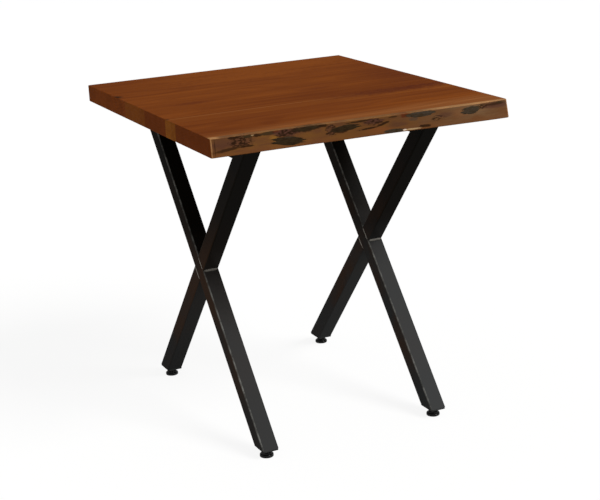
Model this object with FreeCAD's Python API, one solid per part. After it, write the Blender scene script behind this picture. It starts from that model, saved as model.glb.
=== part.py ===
import FreeCAD
import Part
import math
import os
from FreeCAD import Vector

# A live-edge end table: a glued wooden top on two welded steel X-frames with levelling feet.
# X runs along the grain and the live edge, Y from the live edge at the front to the straight
# edge at the back, and Z up. The origin is on the floor under the middle of the whole table.
# Lengths are in millimetres. The left frame is the one at negative X.

# Whole table
overall_height = 609.6
top_length = 558.8
top_depth = 635.0
top_thickness = 31.75

# Boards of the top, counted from the back; the live-edge board takes the rest of the depth
board_widths = (104.8, 108.0, 102.0, 102.0, 47.0)
arris_radius = 1.5
live_corner_radius = 4.0

# Live edge: how far the face stands back from its furthest point, from the left end to the right
live_edge_depth = 27.2
live_edge_crown_height = 1.5
live_edge_top_shares = (1.00, 0.80, 0.82, 0.69, 0.49, 0.36, 0.32, 0.24, 0.20, 0.30)
live_edge_bottom_shares = (0.74, 0.71, 0.66, 0.60, 0.54, 0.48, 0.36, 0.20, 0.053, 0.033)

# Steel frames of square tube; each overhang is of the top past the frames
tube_width = 31.75
tube_wall_thickness = 2.0
tube_corner_radius = 3.0
frame_width = 508.0
back_overhang_length = 50.8
end_overhang_length = 87.525
crossing_weld_width = 4.0
rail_weld_width = 6.0
weld_crown_share = 0.62

# Mounting plates, screwed up into the boards; the front holes are slots across the grain
plate_width = 76.2
plate_thickness = 3.175
plate_corner_radius = 6.35
screw_row_spacing = 360.0
screw_column_spacing = 50.8
screw_hole_radius = 3.2
slot_length = 14.4

# Wood screws with a wide washer head
screw_radius = 2.75
screw_length = 25.0
screw_point_length = 5.0
screw_head_radius = 6.6
screw_head_flat_radius = 3.6
screw_head_height = 3.3
screw_socket_width = 4.0
screw_socket_depth = 2.0
screw_fit = 0.05

# Foot caps: a moulded flange under each tube end and a plug inside it
cap_flange_height = 4.5
cap_corner_radius = 5.0
cap_edge_radius = 4.0
plug_height = 12.0
plug_fit = 0.15
nut_width = 13.0
nut_height = 6.5
nut_fit = 0.1

# Levelling stems and pads
stud_radius = 4.0
stud_length = 20.0
collar_width = 16.0
collar_height = 6.2
stem_flange_radius = 6.5
stem_flange_height = 2.0
pad_radius = 12.7
pad_disc_height = 5.5
pad_chamfer_width = 1.8
pad_hub_height = 2.5
pad_hub_radius = 10.0
pad_hub_top_radius = 9.2
pad_floor_thickness = 2.0
turning_fit = 0.05
face_gap = 0.3

# How far cutting solids run past what they cut, and how close two levels count as the same
overrun = 10.0
same_level_gap = 0.01

# Levels, from the floor up
pad_top = pad_disc_height + pad_hub_height
collar_bottom = pad_top + face_gap
collar_top = collar_bottom + collar_height
foot_height = collar_top + cap_flange_height
top_underside = overall_height - top_thickness
frame_top = top_underside - plate_thickness

# Places across the table
back_edge = top_depth / 2
live_edge_limit = -top_depth / 2
frame_y = back_edge - back_overhang_length - frame_width / 2
frame_x = top_length / 2 - end_overhang_length - tube_width / 2
frame_places = {"left": -frame_x, "right": frame_x}

# Lean of the legs: their outer edges reach the frame's width at the floor end and at the top
frame_rise = (frame_top - foot_height) / 2
crossing_z = foot_height + frame_rise
corner_distance = math.hypot(frame_width / 2, frame_rise)
lean = math.acos(tube_width / 2 / corner_distance) - math.atan2(frame_rise, frame_width / 2)
foot_spread = frame_rise * math.tan(lean)
leg_footprint = tube_width / math.cos(lean)
tube_bore_width = tube_width - 2 * tube_wall_thickness

# The two ways a leg leans: its top towards the back, or towards the front
TO_BACK = 1
TO_FRONT = -1

HEXAGON_SIDES = 6


def centred_box(width, depth, low_z, high_z):
    """A box around the Z axis between two levels."""
    corner = Vector(-width / 2, -depth / 2, low_z)
    return Part.makeBox(width, depth, high_z - low_z, corner)


def end_levels(edge):
    """The lowest and the highest z of an edge's ends."""
    levels = [vertex.Z for vertex in edge.Vertexes]
    return min(levels), max(levels)


def upright_edges(solid, height):
    """The edges of an upright prism that run up all its height."""
    found = []
    for edge in solid.Edges:
        low, high = end_levels(edge)
        if high - low > height - same_level_gap:
            found.append(edge)
    return found


def level_edges(solid, z):
    """The edges of a solid whose ends both lie in the level plane at z."""
    found = []
    for edge in solid.Edges:
        low, high = end_levels(edge)
        if low > z - same_level_gap and high < z + same_level_gap:
            found.append(edge)
    return found


def rounded_prism(width, depth, low_z, high_z, radius):
    """A box around the Z axis with its four upright edges rounded."""
    box = centred_box(width, depth, low_z, high_z)
    return box.makeFillet(radius, upright_edges(box, high_z - low_z))


def cylinder(radius, low_z, high_z):
    """A round bar on the Z axis between two levels."""
    return Part.makeCylinder(radius, high_z - low_z, Vector(0, 0, low_z))


def hexagon(width, low_z, high_z):
    """A hexagonal bar on the Z axis; width is across its flats, two of which face along Y."""
    radius = width / 2 / math.cos(math.pi / HEXAGON_SIDES)
    turns = [2 * math.pi * count / HEXAGON_SIDES for count in range(HEXAGON_SIDES + 1)]
    points = [Vector(radius * math.cos(turn), radius * math.sin(turn), low_z) for turn in turns]
    return Part.Face(Part.makePolygon(points)).extrude(Vector(0, 0, high_z - low_z))


def revolved(points):
    """A solid turned about Z from a closed outline of (radius, z) points."""
    corners = [Vector(radius, 0, z) for radius, z in points]
    outline = Part.Face(Part.makePolygon(corners + corners[:1]))
    return outline.revolve(Vector(0, 0, 0), Vector(0, 0, 1), 360)


def moved(shape, x, y):
    """A copy of a shape moved level."""
    copy = shape.copy()
    copy.translate(Vector(x, y, 0))
    return copy


# The top


def live_edge_waste():
    """What nature left off in front of the live edge, with the wavy face as its back."""
    rows = []
    last = len(live_edge_top_shares) - 1
    for place, top_share in enumerate(live_edge_top_shares):
        x = (place / last - 1 / 2) * (top_length + 2 * overrun)
        top_y = live_edge_limit + live_edge_depth * top_share
        bottom_y = live_edge_limit + live_edge_depth * live_edge_bottom_shares[place]
        run_on = (top_y - bottom_y) * overrun / top_thickness
        middle_y = (top_y + bottom_y - live_edge_crown_height) / 2
        rows.append([
            Vector(x, bottom_y - run_on, top_underside - overrun),
            Vector(x, middle_y, top_underside + top_thickness / 2),
            Vector(x, top_y + run_on, overall_height + overrun),
        ])
    surface = Part.BSplineSurface()
    surface.interpolate(rows)
    return surface.toShape().extrude(Vector(0, -top_depth, 0))


def slab():
    """The glued-up top before it is told apart into boards, with its edges eased."""
    corner = Vector(-top_length / 2, live_edge_limit - overrun, top_underside)
    blank = Part.makeBox(top_length, top_depth + overrun, top_thickness, corner)
    shape = blank.cut(live_edge_waste())
    front = [edge for edge in upright_edges(shape, top_thickness) if edge.CenterOfMass.y < 0]
    shape = shape.makeFillet(live_corner_radius, front)
    corners = upright_edges(shape, top_thickness)
    back = [edge for edge in corners if edge.CenterOfMass.y > back_edge - same_level_gap]
    shape = shape.makeFillet(arris_radius, back)
    arrises = level_edges(shape, overall_height) + level_edges(shape, top_underside)
    return shape.makeFillet(arris_radius, arrises)


def screw_places():
    """The (x, y) of each screw under the top on one frame, from the frame's middle."""
    columns = (-screw_column_spacing / 2, screw_column_spacing / 2)
    rows = (-screw_row_spacing / 2, screw_row_spacing / 2)
    return [(x, y) for y in rows for x in columns]


def pilot_holes():
    """Blind holes in the underside of the top for the screws of both frames."""
    depth = screw_length - plate_thickness + screw_fit
    hole = cylinder(screw_radius + screw_fit, top_underside - overrun, top_underside + depth)
    holes = []
    for place_x in frame_places.values():
        for x, y in screw_places():
            holes.append(moved(hole, place_x + x, frame_y + y))
    return Part.Compound(holes)


def top_boards():
    """The boards of the top by name, cut from one slab so that their outer faces run on."""
    drilled = slab().cut(pilot_holes())
    boards = {}
    back = back_edge
    widths = list(board_widths) + [top_depth - sum(board_widths)]
    for number, width in enumerate(widths, start=1):
        name = "live_edge_board" if number == len(widths) else f"top_board_{number}"
        low = back - width
        corner = Vector(-top_length / 2 - overrun, low, top_underside - overrun)
        strip = Part.makeBox(top_length + 2 * overrun, width, top_thickness + 2 * overrun, corner)
        boards[name] = drilled.common(strip)
        back = low
    return boards


# The welded frames


def leg_block(width, depth, radius, way):
    """A long bar through the crossing of the frame at x = 0, leaning by the frame's lean."""
    reach = (frame_rise + 2 * tube_width) / math.cos(lean)
    bar = centred_box(width, depth, -reach, reach)
    if radius:
        bar = bar.makeFillet(radius, upright_edges(bar, 2 * reach))
    bar.rotate(Vector(0, 0, 0), Vector(1, 0, 0), -way * math.degrees(lean))
    bar.translate(Vector(0, frame_y, crossing_z))
    return bar


def leg_tube(way):
    """A square tube through the crossing, cut level at the foot and under the plate."""
    outer = leg_block(tube_width, tube_width, tube_corner_radius, way)
    bore = leg_block(tube_bore_width, tube_bore_width, 0, way)
    band = moved(centred_box(2 * tube_width, 2 * frame_width, foot_height, frame_top), 0, frame_y)
    return outer.cut(bore).common(band)


def leg_shadow(way):
    """A wide block between the planes of a leg's two sloping faces, to trim what meets it."""
    return leg_block(3 * tube_width, tube_width, 0, way)


def cross_tube_pieces():
    """The lower leg and the upper arm: one line of tube, parted by the long leg."""
    pieces = leg_tube(TO_FRONT).cut(leg_shadow(TO_BACK)).Solids
    return sorted(pieces, key=lambda piece: piece.CenterOfMass.z)


def top_rail():
    """The level tube between the two arms, trimmed to their inner faces."""
    outer = rounded_prism(tube_width, tube_width, -foot_spread, foot_spread, tube_corner_radius)
    bore = centred_box(tube_bore_width, tube_bore_width, -foot_spread, foot_spread)
    rail = outer.cut(bore)
    rail.rotate(Vector(0, 0, 0), Vector(1, 0, 0), 90)
    rail.translate(Vector(0, frame_y, frame_top - tube_width / 2))
    trimmed = rail.cut(leg_shadow(TO_BACK)).cut(leg_shadow(TO_FRONT))
    return max(trimmed.Solids, key=lambda piece: piece.Volume)


def top_plate():
    """The flat bar between frame and top, with round holes at the back and slots in front."""
    plate = rounded_prism(plate_width, frame_width, frame_top, top_underside, plate_corner_radius)
    low = frame_top - overrun
    high = top_underside + overrun
    round_hole = cylinder(screw_hole_radius, low, high)
    reach = slot_length / 2 - screw_hole_radius
    middle = centred_box(2 * screw_hole_radius, 2 * reach, low, high)
    slot = middle.fuse([moved(round_hole, 0, -reach), moved(round_hole, 0, reach)])
    slot = slot.removeSplitter()
    for x, y in screw_places():
        hole = slot if y < 0 else round_hole
        plate = plate.cut(moved(hole, x, y))
    return moved(plate, 0, frame_y)


def weld_bead(y, z, first, second, width):
    """A convex fillet bead along X in a corner, as wide along each of two directions."""
    corner = Vector(0, y, z)
    start = corner + first * width
    end = corner + second * width
    crown = corner + (first + second) * width * weld_crown_share
    outline = Part.Wire([
        Part.makeLine(corner, start),
        Part.Arc(start, crown, end).toShape(),
        Part.makeLine(end, corner),
    ])
    length = tube_width - 2 * tube_corner_radius
    bead = Part.Face(outline).extrude(Vector(length, 0, 0))
    bead.translate(Vector(-length / 2, 0, 0))
    return bead


def leg_direction(way):
    """The unit vector up along a leg."""
    return Vector(0, way * math.sin(lean), math.cos(lean))


def crossing_welds():
    """Four beads where the upper arm and the lower leg butt on the long leg."""
    long_up = leg_direction(TO_BACK)
    short_up = leg_direction(TO_FRONT)
    rise = tube_width / 2 / math.sin(lean)
    run = leg_footprint / 2
    corners = [
        (frame_y, crossing_z + rise, long_up, short_up),
        (frame_y - run, crossing_z, long_up * -1, short_up),
        (frame_y, crossing_z - rise, long_up * -1, short_up * -1),
        (frame_y + run, crossing_z, long_up, short_up * -1),
    ]
    return Part.Compound([weld_bead(*corner, crossing_weld_width) for corner in corners])


def rail_welds():
    """A bead under each end of the rail, in its corner with the arm."""
    z = frame_top - tube_width
    offset = (z - crossing_z) * math.tan(lean) - leg_footprint / 2
    beads = []
    for way in (TO_BACK, TO_FRONT):
        inward = Vector(0, -way, 0)
        down = leg_direction(way) * -1
        beads.append(weld_bead(frame_y + way * offset, z, inward, down, rail_weld_width))
    return Part.Compound(beads)


def plate_screw():
    """A pointed wood screw from below, its wide head up against the plate."""
    crown = frame_top - screw_head_height
    tip = frame_top + screw_length
    screw = revolved([
        (0, crown),
        (screw_head_flat_radius, crown),
        (screw_head_radius, frame_top),
        (screw_radius, frame_top),
        (screw_radius, tip - screw_point_length),
        (0, tip),
    ])
    return screw.cut(hexagon(screw_socket_width, crown - overrun, crown + screw_socket_depth))


def plate_screws():
    """The screws under one frame's plate."""
    screw = plate_screw()
    return Part.Compound([moved(screw, x, frame_y + y) for x, y in screw_places()])


# The levelling feet, made on the Z axis


def cap_flange():
    """The part of a cap that shows: rounded at its corners and along its lower edges."""
    low = collar_top
    flange = rounded_prism(tube_width, leg_footprint, low, foot_height, cap_corner_radius)
    box = centred_box(tube_width, leg_footprint, low, foot_height)
    for direction in (Vector(1, 0, 0), Vector(0, 1, 0)):
        edges = []
        for edge in level_edges(box, low):
            run = edge.Vertexes[-1].Point - edge.Vertexes[0].Point
            if abs(run.dot(direction)) > same_level_gap:
                edges.append(edge)
        flange = flange.common(box.makeFillet(cap_edge_radius, edges))
    return flange


def foot_cap(way):
    """A cap whose flange closes a leg's end and whose plug fills the end of its tube."""
    foot_y = -way * foot_spread
    plug_width = tube_bore_width - 2 * plug_fit
    plug = leg_block(plug_width, plug_width, 0, way)
    plug = moved(plug, 0, -frame_y - foot_y)
    plug_top = foot_height + plug_height
    plug = plug.common(centred_box(2 * tube_width, 2 * leg_footprint, foot_height, plug_top))
    stud_hole = cylinder(stud_radius + face_gap, collar_top - overrun, plug_top + overrun)
    nut_pocket = hexagon(nut_width + 2 * nut_fit, foot_height, plug_top + overrun)
    return cap_flange().fuse(plug).removeSplitter().cut(stud_hole).cut(nut_pocket)


def foot_nut():
    """A plain hexagon nut lying on the cap's flange."""
    high = foot_height + nut_height
    bore = cylinder(stud_radius + turning_fit, foot_height, high)
    return hexagon(nut_width, foot_height, high).cut(bore)


def foot_stem():
    """The levelling screw: a flange that turns in the pad, a hexagon collar and the stud."""
    flange = cylinder(stem_flange_radius, pad_floor_thickness, pad_floor_thickness + stem_flange_height)
    stud = cylinder(stud_radius, pad_floor_thickness, collar_top + stud_length)
    collar = hexagon(collar_width, collar_bottom, collar_top)
    return stud.fuse([flange, collar]).removeSplitter()


def foot_pad():
    """The round pad, hollow round the stem's flange and neck."""
    body = revolved([
        (0, 0),
        (pad_radius, 0),
        (pad_radius, pad_disc_height - pad_chamfer_width),
        (pad_radius - pad_chamfer_width, pad_disc_height),
        (pad_hub_radius, pad_disc_height),
        (pad_hub_top_radius, pad_top),
        (0, pad_top),
    ])
    room_top = pad_floor_thickness + stem_flange_height + face_gap
    neck = cylinder(stud_radius + turning_fit, pad_floor_thickness, pad_top + overrun)
    room = cylinder(stem_flange_radius + turning_fit, pad_floor_thickness, room_top)
    return body.cut(neck).cut(room)


# The whole table


def table_parts():
    """Every piece of the table in its place, by name."""
    parts = top_boards()
    lower_leg, upper_arm = cross_tube_pieces()
    frame_pieces = {
        "long_leg": leg_tube(TO_BACK),
        "upper_arm": upper_arm,
        "lower_leg": lower_leg,
        "top_rail": top_rail(),
        "top_plate": top_plate(),
        "crossing_welds": crossing_welds(),
        "rail_welds": rail_welds(),
        "plate_screws": plate_screws(),
    }
    foot_ways = {"front": TO_BACK, "back": TO_FRONT}
    for side, place_x in frame_places.items():
        for name, shape in frame_pieces.items():
            parts[f"{side}_{name}"] = moved(shape, place_x, 0)
        for end, way in foot_ways.items():
            foot_y = frame_y - way * foot_spread
            foot = {
                "foot_cap": foot_cap(way),
                "foot_nut": foot_nut(),
                "foot_stem": foot_stem(),
                "foot_pad": foot_pad(),
            }
            for name, shape in foot.items():
                parts[f"{end}_{side}_{name}"] = moved(shape, place_x, foot_y)
    return parts


os.makedirs("parts", exist_ok=True)
for node, shape in table_parts().items():
    shape.exportStep(f"parts/{node}.step")
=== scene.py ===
"""A live-edge end table on two steel X-frames, dressed around its CAD frame.

Lengths are metres in the frame's own axes: X along the grain and the live edge, Y from the
live edge at the front to the straight edge at the back, Z up from the floor.
"""

import logging
import math
from abc import ABC, abstractmethod
from dataclasses import dataclass
from enum import Enum
from functools import reduce
from itertools import product
from typing import Any, Optional, Sequence, Union

import bmesh
import bpy
from bmesh.types import BMEdge, BMesh, BMVert
from bpy.types import Material, NodeSocket
from mathutils import Matrix, Vector, noise
from mathutils.bvhtree import BVHTree

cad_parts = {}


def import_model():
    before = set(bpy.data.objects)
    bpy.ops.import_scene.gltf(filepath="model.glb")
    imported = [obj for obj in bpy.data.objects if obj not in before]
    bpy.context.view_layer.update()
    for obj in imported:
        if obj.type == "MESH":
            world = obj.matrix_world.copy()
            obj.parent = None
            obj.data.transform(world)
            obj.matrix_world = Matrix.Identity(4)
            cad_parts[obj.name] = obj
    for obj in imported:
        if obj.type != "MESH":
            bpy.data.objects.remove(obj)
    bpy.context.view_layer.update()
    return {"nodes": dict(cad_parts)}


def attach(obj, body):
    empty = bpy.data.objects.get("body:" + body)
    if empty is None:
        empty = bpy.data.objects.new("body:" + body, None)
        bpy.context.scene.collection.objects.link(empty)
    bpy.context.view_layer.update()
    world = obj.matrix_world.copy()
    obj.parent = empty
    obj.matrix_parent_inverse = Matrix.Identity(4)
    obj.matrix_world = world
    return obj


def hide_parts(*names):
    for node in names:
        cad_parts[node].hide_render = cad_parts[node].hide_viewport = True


LOG = logging.getLogger("end_table")
PER_METRE = 1000  # millimetres in a metre
CRISP_ANGLE = math.radians(35.0)  # edges sharper than this aren't shaded smooth
MERGE_DISTANCE = 1e-6
RAY_START = -0.5  # well in front of the live edge, along Y
FACE_Y, FACE_DEPTH = -305.0, 400.0  # a face mark's middle and half size along Y, in millimetres
TOP_Z, TOP_DEPTH = 610, 9  # the same for the top's marks along Z
THREAD_STEPS = 20  # to a turn
SEAM_STEPS = 24  # along a side seam
RIPPLE_STEPS = 4  # to a ripple of a bead

Feed = Union[NodeSocket, float, Sequence[float], "Tone"]
Colour = tuple[float, float, float, float]
Triple = tuple[float, float, float]
Station = tuple[float, float]
Nodes = dict[str, bpy.types.Object]

WHITE: Colour = (1.0, 1.0, 1.0, 1.0)


class Tone(Enum):
    """The colours of this table's wood, marks and steel."""

    TOP_LIGHT = (133, 71, 23)
    TOP_MID = (116, 58, 16)
    TOP_DARK = (98, 46, 13)
    TOP_RED = (84, 36, 16)
    SAPWOOD = (142, 88, 46)
    # painted highlight on the natural edge's arrises, with a little paler rubbed wood
    ARRIS_HIGHLIGHT = (178, 130, 84)
    PALE_BOARD = (134, 76, 28)
    # painted light: the end-grain tones are as light as the top's or lighter, for the light that
    # falls on the ends
    END_GRAIN = (134, 67, 25)
    END_YELLOW = (134, 73, 27)
    END_DARK = (118, 57, 22)
    END_GOLD = (152, 90, 32)
    FACE_BROWN = (94, 59, 35)
    FACE_GOLD = (106, 69, 33)
    FACE_YELLOW = (132, 90, 34)
    FACE_GREY = (108, 82, 56)
    FACE_ORANGE = (118, 69, 36)
    BARK = (38, 26, 15)
    BARK_OLIVE = (52, 40, 24)
    BARK_GREY = (66, 57, 48)
    PLUM = (74, 46, 38)
    STREAK = (40, 24, 12)
    FLECK = (170, 140, 102)
    FLECK_BRIGHT = (222, 200, 178)
    COAT = (14, 12, 9)
    # painted light: the coat's paler tone low on the legs, below the top's shadow
    COAT_LOWER_LIT = (46, 47, 47)
    COAT_BROWN = (60, 36, 16)
    # the weld beads' pale grey: partly their own colour, partly painted highlight
    SEAM = (96, 93, 88)
    # painted highlight on the weld beads' flanks and upper arrises
    SEAM_HIGHLIGHT = (168, 163, 154)
    # painted highlight along the steel's arrises, with a little scuff wear
    COAT_HIGHLIGHT_WEAR = (136, 136, 131)
    OXIDE = (30, 29, 28)
    ZINC = (150, 152, 154)
    PLASTIC = (14, 14, 14)
    PLASTIC_SCUFF = (40, 39, 38)
    FLOOR = (203, 203, 201)

    @property
    def colour(self) -> Colour:
        """Turn the tone into the scene-linear colour that a shader takes.

        Returns:
            The colour with full alpha.
        """
        shares = (level / 255 for level in self.value)
        red, green, blue = (
            share / 12.92 if share <= 0.04045 else ((share + 0.055) / 1.055) ** 2.4
            for share in shares
        )
        return (red, green, blue, 1.0)


class Side(Enum):
    """The two X-frames."""

    LEFT = "left"
    RIGHT = "right"


class End(Enum):
    """The two ends of an X-frame's feet."""

    FRONT = "front"
    BACK = "back"


class NodeGraph:
    """A node tree, with short calls for the nodes that the finishes and the studio share."""

    def __init__(self, tree: bpy.types.NodeTree) -> None:
        """Keep the tree and empty it."""
        self.tree = tree
        self.tree.nodes.clear()

    def node(self, kind: str, feeds: dict[Any, Feed], **settings: Any) -> bpy.types.Node:
        """Add a node and feed its inputs.

        Args:
            kind: The node's type name.
            feeds: A value, a tone or a socket for each named or numbered input.
            **settings: The node's own properties.

        Returns:
            The new node.
        """
        made = self.tree.nodes.new(kind)
        for key, value in settings.items():
            setattr(made, key, value)
        for key, value in feeds.items():
            if isinstance(value, NodeSocket):
                self.tree.links.new(value, made.inputs[key])
            else:
                made.inputs[key].default_value = value.colour if isinstance(value, Tone) else value
        return made

    def math(self, operation: str, first: Feed, second: Feed = 0.0, clamp: bool = False) -> Feed:
        """Take one arithmetic step on two values."""
        feeds = {0: first, 1: second}
        return self.node("ShaderNodeMath", feeds, operation=operation, use_clamp=clamp).outputs[0]

    def times(self, *values: Feed) -> Feed:
        """Multiply values."""
        return reduce(lambda total, value: self.math("MULTIPLY", total, value), values)

    def plus(self, *values: Feed) -> Feed:
        """Add values."""
        return reduce(lambda total, value: self.math("ADD", total, value), values)

    def most(self, *values: Feed) -> Feed:
        """Take the largest of values."""
        return reduce(lambda total, value: self.math("MAXIMUM", total, value), values)

    def seen(self) -> Feed:
        """Give 1 where a ray sees directly, in a reflection or through glass, and 0 elsewhere."""
        path = self.node("ShaderNodeLightPath", {}).outputs
        return self.most(*(path[f"Is {ray} Ray"] for ray in ("Camera", "Glossy", "Transmission")))


class ShaderGraph(NodeGraph):
    """The node tree of one material."""

    def __init__(self, name: str) -> None:
        """Start an empty material.

        Args:
            name: The material's name.
        """
        self.material = bpy.data.materials.new(name)
        self.material.use_nodes = True
        super().__init__(self.material.node_tree)
        coords = self.node("ShaderNodeTexCoord", {}).outputs
        self.place, self.facing = coords["Object"], coords["Normal"]

    def vector(self, operation: str, first: Feed, second: Feed = (0.0, 0.0, 0.0)) -> Feed:
        """Take one vector step; a length comes out as a value."""
        made = self.node("ShaderNodeVectorMath", {0: first, 1: second}, operation=operation)
        return made.outputs["Value" if operation == "LENGTH" else "Vector"]

    def at(self, axis: str) -> Feed:
        """Take one coordinate of the point, in metres."""
        return self.node("ShaderNodeSeparateXYZ", {0: self.place}).outputs[axis]

    def faces(self, axis: str) -> Feed:
        """Take one component of the surface's direction."""
        return self.node("ShaderNodeSeparateXYZ", {0: self.facing}).outputs[axis]

    def sideways(self) -> Feed:
        """Tell how far the surface looks to the left or the right."""
        return self.math("ABSOLUTE", self.faces("X"))

    def noise(
        self, scale: Triple, detail: float = 3.0, roughness: float = 0.5, shift: float = 0.0
    ) -> Feed:
        """Add noise from 0 to 1 over the piece's own coordinates.

        Args:
            scale: Cells per metre along each axis.
            detail: Octaves of finer noise.
            roughness: How strong the finer octaves are.
            shift: A step to the side, so that two pieces differ.

        Returns:
            The noise value's socket.
        """
        spread = self.vector("MULTIPLY", self.place, scale)
        if shift:
            spread = self.vector("ADD", spread, (shift, shift * 0.7, shift * 1.3))
        feeds = {"Vector": spread, "Scale": 1.0, "Detail": detail, "Roughness": roughness}
        return self.node("ShaderNodeTexNoise", feeds).outputs["Fac"]

    def span(
        self, value: Feed, low: float, high: float, to_low: float = 0.0, to_high: float = 1.0
    ) -> Feed:
        """Step smoothly from one range of values to another.

        Args:
            value: The value to map.
            low: Where the step starts; it may lie above its end.
            high: Where the step ends.
            to_low: What comes out at its start.
            to_high: What comes out at its end.

        Returns:
            The mapped value's socket.
        """
        feeds = {
            "Value": value, "From Min": low, "From Max": high, "To Min": to_low, "To Max": to_high,
        }
        made = self.node("ShaderNodeMapRange", feeds, interpolation_type="SMOOTHSTEP")
        return made.outputs["Result"]

    def mix(self, share: Feed, first: Feed, second: Feed) -> Feed:
        """Blend two colours by a share."""
        feeds = {0: share, 6: first, 7: second}
        return self.node("ShaderNodeMix", feeds, data_type="RGBA").outputs[2]

    def bump(self, height: Feed, depth: float, strength: float) -> Feed:
        """Bend the normal by a height from 0 to 1, which stands for a depth in metres."""
        feeds = {"Strength": strength, "Distance": depth, "Height": height}
        return self.node("ShaderNodeBump", feeds).outputs["Normal"]

    def finish(self, feeds: dict[Any, Feed]) -> Material:
        """End the tree in a principled shader whose gloss is all in its coat.

        Args:
            feeds: The shader's inputs.

        Returns:
            The material.
        """
        shader = self.node("ShaderNodeBsdfPrincipled", {"Specular IOR Level": 0.0, **feeds})
        self.node("ShaderNodeOutputMaterial", {"Surface": shader.outputs[0]})
        return self.material


@dataclass(frozen=True)
class SurfaceMark:
    """A ragged spot or streak in the wood."""

    centre: Triple  # in millimetres
    reach: Triple  # its half sizes along X, Y and Z, in millimetres
    tone: Tone
    strength: float = 0.9  # how much of the wood it hides at its middle
    ragged: float = 0.8  # how far noise pushes its outline in and out
    soft: float = 0.25  # how wide its outline fades
    tilt: float = 0.0  # its turn about Y, in degrees
    speckle: float = 0.0  # the level that fine noise must pass to show it, if any

    def mask(self, graph: ShaderGraph, rough: Feed, fine: Feed) -> Feed:
        """Tell how strongly the mark covers each point.

        Args:
            graph: The wood's node tree.
            rough: Noise for the outline.
            fine: Noise for the speckles.

        Returns:
            The cover's socket, from 0 to the strength.
        """
        feeds = {
            "Vector": graph.place,
            "Location": Vector(self.centre) / PER_METRE,
            "Rotation": (0.0, math.radians(self.tilt), 0.0),
            "Scale": Vector(self.reach) / PER_METRE,
        }
        local = graph.node("ShaderNodeMapping", feeds, vector_type="TEXTURE").outputs[0]
        distance = graph.vector("LENGTH", local)
        push = graph.times(graph.math("SUBTRACT", rough, 0.5), 2 * self.ragged)
        distance = graph.plus(distance, push)
        cover = graph.span(distance, 1 + self.soft, 1 - self.soft, 0, self.strength)
        if self.speckle:
            passed = graph.span(fine, self.speckle - 0.04, self.speckle + 0.04)
            cover = graph.times(cover, passed)
        return cover


# each row holds a mark's x and z, its half length and half height, and then its fields
# from the tone on
FACE_MARKS = tuple(
    SurfaceMark((x, FACE_Y, z), (half[0], FACE_DEPTH, half[1]), *facts)
    for x, z, half, *facts in (
        (-166, 597, (8, 5), Tone.FACE_YELLOW, 0.6, 0.8, 0.5),
        (22, 587, (24, 5), Tone.FACE_ORANGE, 0.8, 0.8, 0.6),
        (-104, 592, (12, 5), Tone.FACE_GOLD, 0.5, 0.8, 0.6),
        (-30, 586, (40, 5), Tone.FACE_GOLD, 0.6, 0.8, 0.6),
        (180, 597, (16, 8), Tone.FACE_ORANGE, 0.35, 0.8, 0.6),
        (-258, 599, (24, 10), Tone.PLUM, 0.55, 0.5, 0.6),
        (-226, 600, (20, 9), Tone.PLUM, 0.5, 0.8, 0.5),
        (-225, 599, (20, 9), Tone.STREAK, 0.95, 0.8, 0.25, 0, 0.5),
        (-250, 588.6, (26, 2.5), Tone.STREAK, 0.8, 0.6, 0.5, -6),
        (-271.5, 594, (1.0, 14), Tone.STREAK, 0.6, 0.3, 0.5),
        (-238, 606.4, (9, 2.2), Tone.STREAK, 0.9, 1.0),
        (-217, 590.2, (14, 1.5), Tone.STREAK, 0.9, 1.0),
        (-212, 606.0, (10, 2.6), Tone.BARK_OLIVE),
        (-196, 605.2, (9, 2.4), Tone.STREAK, 0.9, 1.0),
        (-205, 606.4, (2.8, 1.0), Tone.FLECK, 0.6, 1.0),
        (-178, 605.8, (15, 2.8), Tone.BARK_OLIVE),
        (-160, 606.6, (8, 1.8), Tone.TOP_RED),
        (-143, 603.0, (23, 6.0), Tone.PLUM, 0.85, 0.9),
        (-143, 603.0, (23, 6.5), Tone.STREAK, 0.95, 0.9, 0.25, 0, 0.5),
        (-107, 605.4, (28, 4.6), Tone.BARK, 0.85, 0.8, 0.25, -3),
        (-80, 606.6, (9, 2.4), Tone.STREAK),
        (-65, 598, (8, 9), Tone.PLUM, 0.6, 0.9),
        (-64, 597, (10, 9), Tone.STREAK, 0.95, 0.9, 0.25, 0, 0.5),
        (-47, 592.5, (10, 2.2), Tone.STREAK, 0.8, 1.0),
        (-8, 606.2, (27, 1.6), Tone.BARK, 0.85, 0.8, 0.25, -1.5),
        (14, 603, (17, 4.4), Tone.PLUM, 0.8, 0.9),
        (14, 602, (18, 5.0), Tone.STREAK, 0.85, 0.9, 0.25, 0, 0.53),
        (4, 592.0, (18, 1.5), Tone.STREAK, 0.9, 0.9, 0.25, -4),
        (31, 596.5, (13, 2.0), Tone.STREAK, 0.9, 0.8, 0.25, -16),
        (60, 592, (18, 4), Tone.PLUM, 0.5, 0.8, 0.5),
        (50, 606.2, (10, 1.4), Tone.STREAK, 0.7),
        (111, 583.4, (11, 2.4), Tone.STREAK, 0.9, 1.1),
        (87, 580.8, (17, 1.5), Tone.FLECK, 0.9, 0.7),
        (73, 581.2, (3.5, 1.5), Tone.FLECK_BRIGHT, 0.9, 0.5),
        (73, 606.4, (9, 4), Tone.TOP_RED, 0.85, 0.8, 0.4),
        (90, 597.5, (9, 3), Tone.BARK_GREY, 0.6, 0.9),
        (138, 594, (12, 4.5), Tone.STREAK, 0.9, 1.0, 0.25, 0, 0.5),
        (151, 598, (14, 4), Tone.PLUM, 0.45, 0.8, 0.6),
        (207, 600, (28, 10), Tone.FLECK, 0.1, 0.4, 0.6),
        (225, 603.5, (11, 4.0), Tone.STREAK, 0.9, 0.9, 0.25, 0, 0.47),
        (255, 602.4, (26, 4.6), Tone.PLUM, 0.7, 0.6, 0.5),
        (252, 604.6, (24, 2.4), Tone.STREAK, 0.7, 0.6, 0.5, -1),
        (262, 606.0, (6, 1.4), Tone.BARK_OLIVE, 0.9, 0.4),
    )
)

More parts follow.
